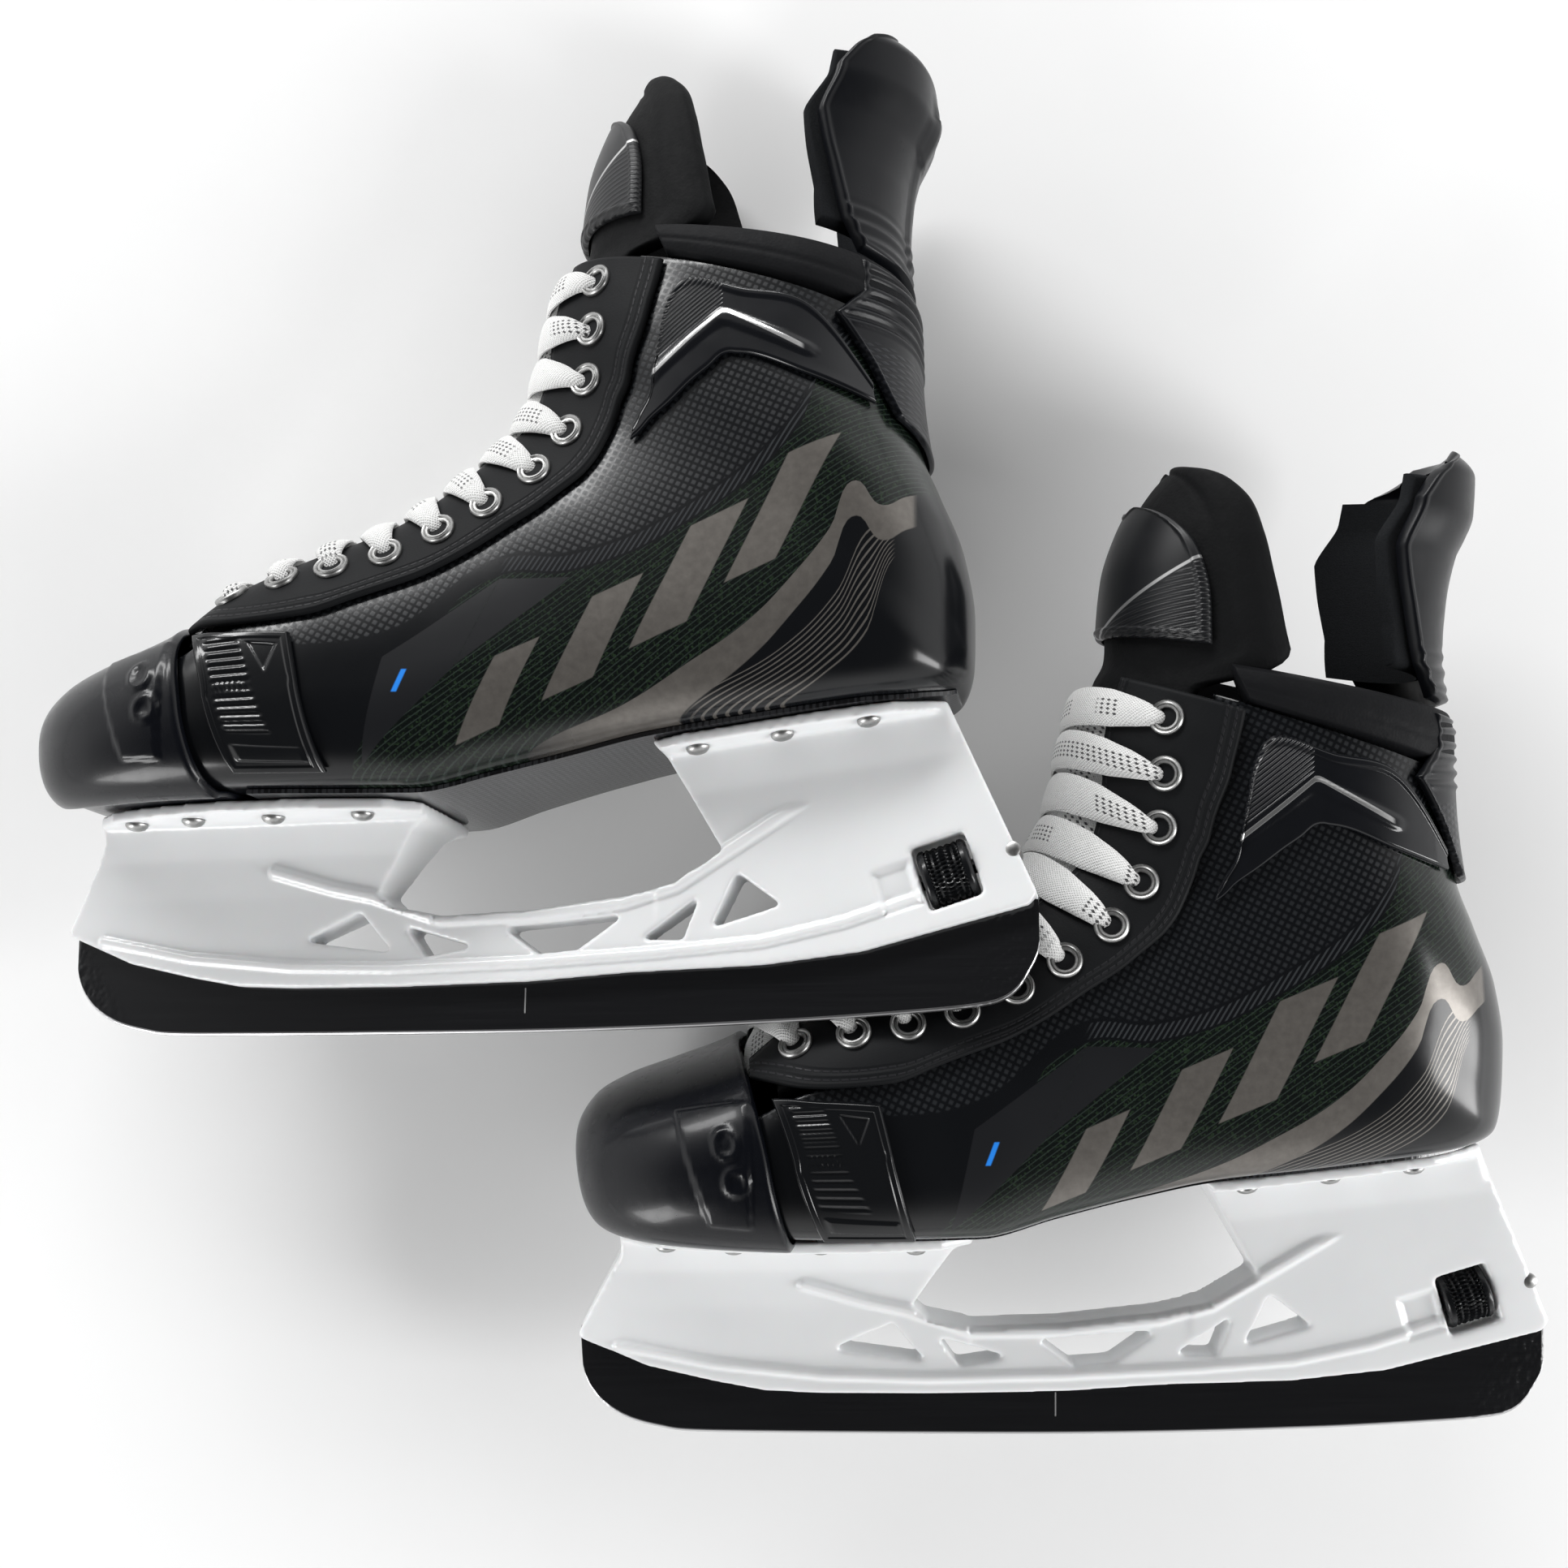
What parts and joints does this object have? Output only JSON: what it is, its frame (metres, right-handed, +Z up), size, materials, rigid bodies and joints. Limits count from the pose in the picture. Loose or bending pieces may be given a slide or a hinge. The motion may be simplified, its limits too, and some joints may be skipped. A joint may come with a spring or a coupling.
{
  "type": "ice hockey skates",
  "caption": "Pair of laced ice hockey skates lying on their sides, with moulded boots, tendon guards, blade holders and steel runners.",
  "frame": {"origin": "middle of the pair's plan box, on the surface that the skates lie on", "axes": "+Z up off the surface, +X from toes to heels along the left skate's blade, +Y from the left skate's blade toward its ankle"},
  "size_m": [0.4718, 0.4422, 0.1199],
  "materials": {
    "gloss_shell": "black gloss composite with dark green metallic flake and fine pinstripes",
    "toe_cap": "black injection-moulded plastic, gloss with satin ribs",
    "outsole": "black composite plate",
    "matte_facing": "matte black synthetic leather with dashed stitching",
    "collar_leather": "soft matte black padded synthetic leather",
    "tongue_leather": "smooth black synthetic leather with a silver line",
    "felt": "black brushed felt and knit lining",
    "lace_cotton": "white flat woven lace with small black dashes",
    "guard_rubber": "satin black moulded rubber with a hexagonal texture",
    "nickel": "worn nickel-plated steel",
    "holder_plastic": "white gloss nylon",
    "black_steel": "black coated stainless steel with a bare ground edge"
  },
  "bodies": {
    "left_boot": {"left_boot_shell": "gloss_shell", "left_liner": "felt", "left_footbed": "felt", "left_outsole": "outsole", "left_toe_cap": "toe_cap", "left_side_guard_lateral": "gloss_shell", "left_side_guard_medial": "gloss_shell", "left_eyestay_lateral": "matte_facing", "left_eyestay_medial": "matte_facing", "left_eyelet_row_lateral": "nickel", "left_eyelet_row_medial": "nickel", "left_lace": "lace_cotton", "left_tongue_lower": "felt", "left_collar_pad": "collar_leather", "left_ankle_panel_lateral": "gloss_shell", "left_ankle_panel_medial": "gloss_shell", "left_tendon_base": "guard_rubber", "left_holder": "holder_plastic", "left_steel_runner": "black_steel", "left_front_rivets": "nickel", "left_rear_rivets": "nickel"},
    "left_tongue_top": {"left_tongue_upper": "felt", "left_tongue_shield": "tongue_leather"},
    "left_tendon_top": {"left_tendon_guard": "guard_rubber", "left_tendon_liner": "felt"},
    "left_dial": {"left_lock_dial": "guard_rubber"},
    "left_hook": {"left_lock_hook": "nickel"},
    "right_boot": {"right_boot_shell": "gloss_shell", "right_liner": "felt", "right_footbed": "felt", "right_outsole": "outsole", "right_toe_cap": "toe_cap", "right_side_guard_lateral": "gloss_shell", "right_side_guard_medial": "gloss_shell", "right_eyestay_lateral": "matte_facing", "right_eyestay_medial": "matte_facing", "right_eyelet_row_lateral": "nickel", "right_eyelet_row_medial": "nickel", "right_lace": "lace_cotton", "right_tongue_lower": "felt", "right_collar_pad": "collar_leather", "right_ankle_panel_lateral": "gloss_shell", "right_ankle_panel_medial": "gloss_shell", "right_tendon_base": "guard_rubber", "right_holder": "holder_plastic", "right_steel_runner": "black_steel", "right_front_rivets": "nickel", "right_rear_rivets": "nickel"},
    "right_tongue_top": {"right_tongue_upper": "felt", "right_tongue_shield": "tongue_leather"},
    "right_tendon_top": {"right_tendon_guard": "guard_rubber", "right_tendon_liner": "felt"},
    "right_dial": {"right_lock_dial": "guard_rubber"},
    "right_hook": {"right_lock_hook": "nickel"}
  },
  "joints": [
    {"name": "right_skate_lift", "type": "slide", "parent": "left_boot", "child": "right_boot", "axis": [0, 0, 1], "range_m": [0, 0.2]},
    {"name": "left_tongue_flex", "type": "hinge", "parent": "left_boot", "child": "left_tongue_top", "pos_m": [0.0937, 0.02742, 0.05917], "axis": [0, 0, 1], "range_deg": [0, 35]},
    {"name": "left_tendon_flex", "type": "hinge", "parent": "left_boot", "child": "left_tendon_top", "pos_m": [0.2042, 0.00792, 0.05917], "axis": [0, 0, -1], "range_deg": [-3, 25]},
    {"name": "left_dial_turn", "type": "hinge", "parent": "left_boot", "child": "left_dial", "pos_m": [0.21, -0.17688, 0.05917], "axis": [0.9563, 0.2924, 0], "range_deg": [0, 360]},
    {"name": "left_hook_draw", "type": "slide", "parent": "left_boot", "child": "left_hook", "axis": [-0.9563, -0.2924, 0], "range_m": [0, 0.0013]},
    {"name": "right_tongue_flex", "type": "hinge", "parent": "right_boot", "child": "right_tongue_top", "pos_m": [-0.07049, 0.15296, 0.03605], "axis": [-0.1891, 0.2125, 0.9587], "range_deg": [0, 35]},
    {"name": "right_tendon_flex", "type": "hinge", "parent": "right_boot", "child": "right_tendon_top", "pos_m": [0.03801, 0.13845, 0.06067], "axis": [0.1891, -0.2125, -0.9587], "range_deg": [-3, 25]},
    {"name": "right_dial_turn", "type": "hinge", "parent": "right_boot", "child": "right_dial", "pos_m": [0.04371, -0.04173, 0.10174], "axis": [0.9391, 0.3246, 0.1133], "range_deg": [0, 360]},
    {"name": "right_hook_draw", "type": "slide", "parent": "right_boot", "child": "right_hook", "axis": [-0.9391, -0.3246, -0.1133], "range_m": [0, 0.0013]}
  ]
}
